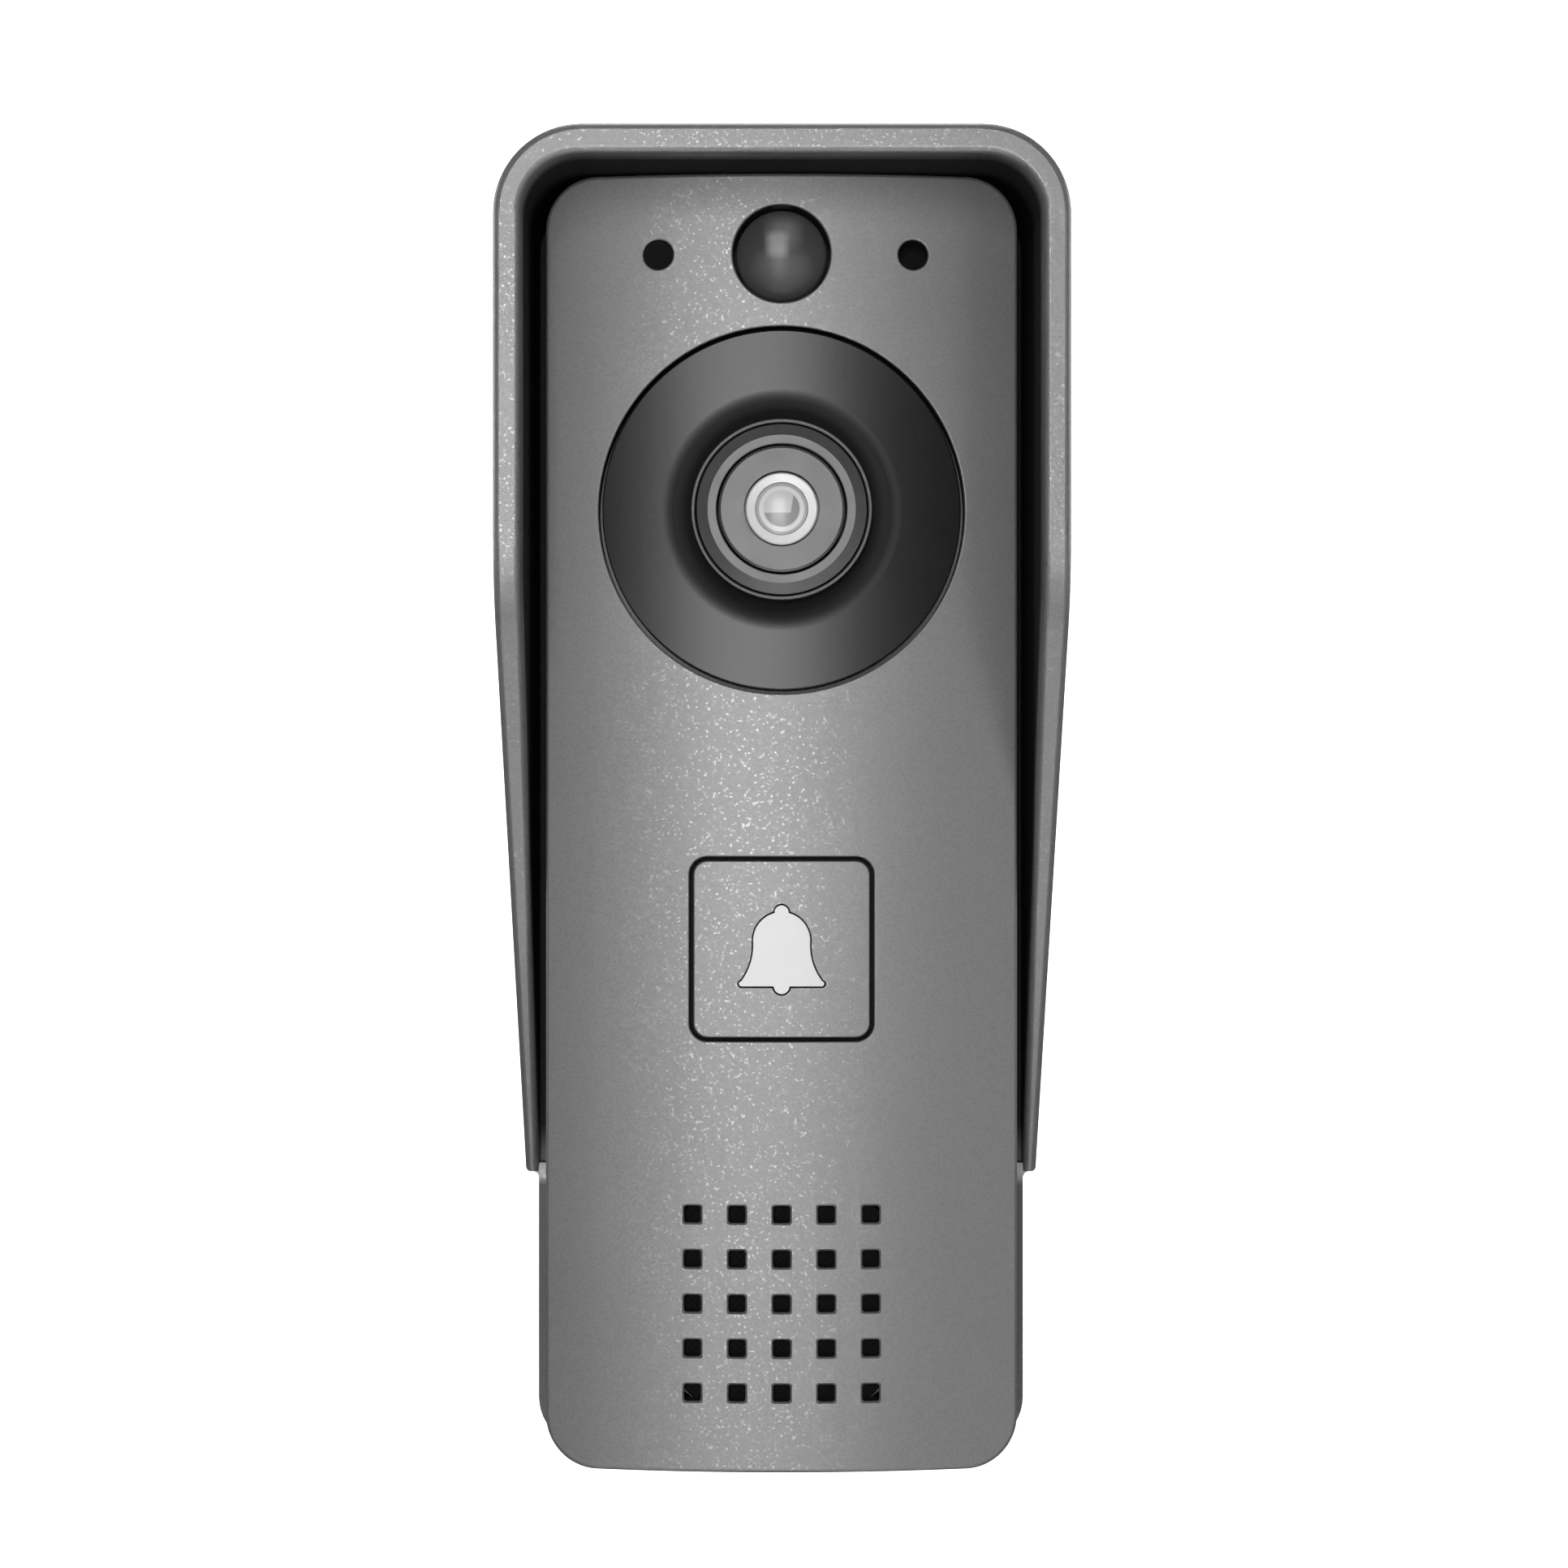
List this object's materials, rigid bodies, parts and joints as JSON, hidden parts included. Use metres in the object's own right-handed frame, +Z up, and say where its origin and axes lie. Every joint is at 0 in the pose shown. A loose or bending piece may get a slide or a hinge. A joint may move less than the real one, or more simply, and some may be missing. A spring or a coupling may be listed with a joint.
{
  "type": "video doorbell",
  "caption": "Wall-mounted video doorbell: crowned grey front plate with camera, call button, sensor dome and speaker slots, under a deep rain hood.",
  "frame": {"origin": "on the wall face of the back plate, on the centre line, level with the middle of the front plate", "axes": "+Z up, -Y out of the wall towards the visitor, +X to the right as the visitor sees it"},
  "size_m": [0.0604, 0.04, 0.1509],
  "materials": {
    "hood_paint": "satin metallic paint on moulded plastic",
    "plate_paint": "satin metallic paint with fine flake",
    "housing_plastic": "fine moulded texture",
    "smoked_plastic": "smoked gloss",
    "sensor_plastic": "dark infrared-clear plastic, gloss",
    "bell_plastic": "milky white, satin",
    "seal_rubber": "matt",
    "black_plastic": "matt",
    "ring_grey": "fine satin paint",
    "bright_ring": "turned and polished",
    "lens_glass": "coated",
    "board_green": "solder mask on glass-fibre board",
    "screw_steel": "plated",
    "brass_parts": "turned",
    "can_aluminium": "drawn",
    "lamp_resin": "clear resin",
    "mesh_cloth": "fine acoustic weave",
    "cone_film": "thin film",
    "magnet_iron": "nickel plated",
    "terminal_plastic": "matt"
  },
  "bodies": {
    "unit": {"rain_hood": "hood_paint", "front_plate": "plate_paint", "rear_housing": "housing_plastic", "camera_bezel": "smoked_plastic", "pir_dome": "sensor_plastic", "light_sensor_window": "sensor_plastic", "cable_grommet": "seal_rubber", "housing_seal": "seal_rubber", "pir_seal": "seal_rubber", "bezel_seal": "seal_rubber", "key_seal": "seal_rubber", "microphone_boot": "seal_rubber", "speaker_gasket": "seal_rubber", "key_frame": "black_plastic", "lens_holder": "black_plastic", "tact_switch_body": "black_plastic", "ir_board_header": "black_plastic", "board_connectors": "black_plastic", "board_chips": "black_plastic", "speaker_basket": "black_plastic", "image_sensor": "black_plastic", "speaker_lead": "black_plastic", "lens_bevel_ring": "ring_grey", "lens_barrel": "ring_grey", "lens_trim_ring": "bright_ring", "lens_retaining_ring": "bright_ring", "front_lens": "lens_glass", "rear_lens": "lens_glass", "ir_cut_filter": "lens_glass", "main_board": "board_green", "camera_board": "board_green", "ir_led_board": "board_green", "security_screw": "screw_steel", "housing_screws": "screw_steel", "board_screws": "screw_steel", "camera_screws": "screw_steel", "key_frame_screws": "screw_steel", "speaker_screws": "screw_steel", "speaker_clamp": "screw_steel", "pir_sensor": "screw_steel", "terminal_screws": "screw_steel", "brass_insert": "brass_parts", "speaker_coil": "brass_parts", "microphone_capsule": "can_aluminium", "board_capacitors": "can_aluminium", "lens_spacer": "can_aluminium", "ir_leds": "lamp_resin", "backlight_leds": "lamp_resin", "photocell": "lamp_resin", "microphone_mesh": "mesh_cloth", "speaker_mesh": "mesh_cloth", "speaker_cone": "cone_film", "camera_ribbon": "cone_film", "speaker_magnet": "magnet_iron", "terminal_block": "terminal_plastic"},
    "call_button": {"call_key": "plate_paint", "bell_light_guide": "bell_plastic"},
    "switch_stem": {"tact_switch_stem": "black_plastic"}
  },
  "joints": [
    {"name": "call_button_press", "type": "slide", "parent": "unit", "child": "call_button", "axis": [0, 1, 0], "range_m": [0, 0.0006], "stiffness_N_per_m": 2000, "springref_m": -0.0005},
    {"name": "switch_stem_press", "type": "slide", "parent": "unit", "child": "switch_stem", "axis": [0, 1, 0], "range_m": [0, 0.0006]}
  ],
  "couplings": [
    {"joint": "switch_stem_press", "follows": "call_button_press", "ratio": 1}
  ]
}
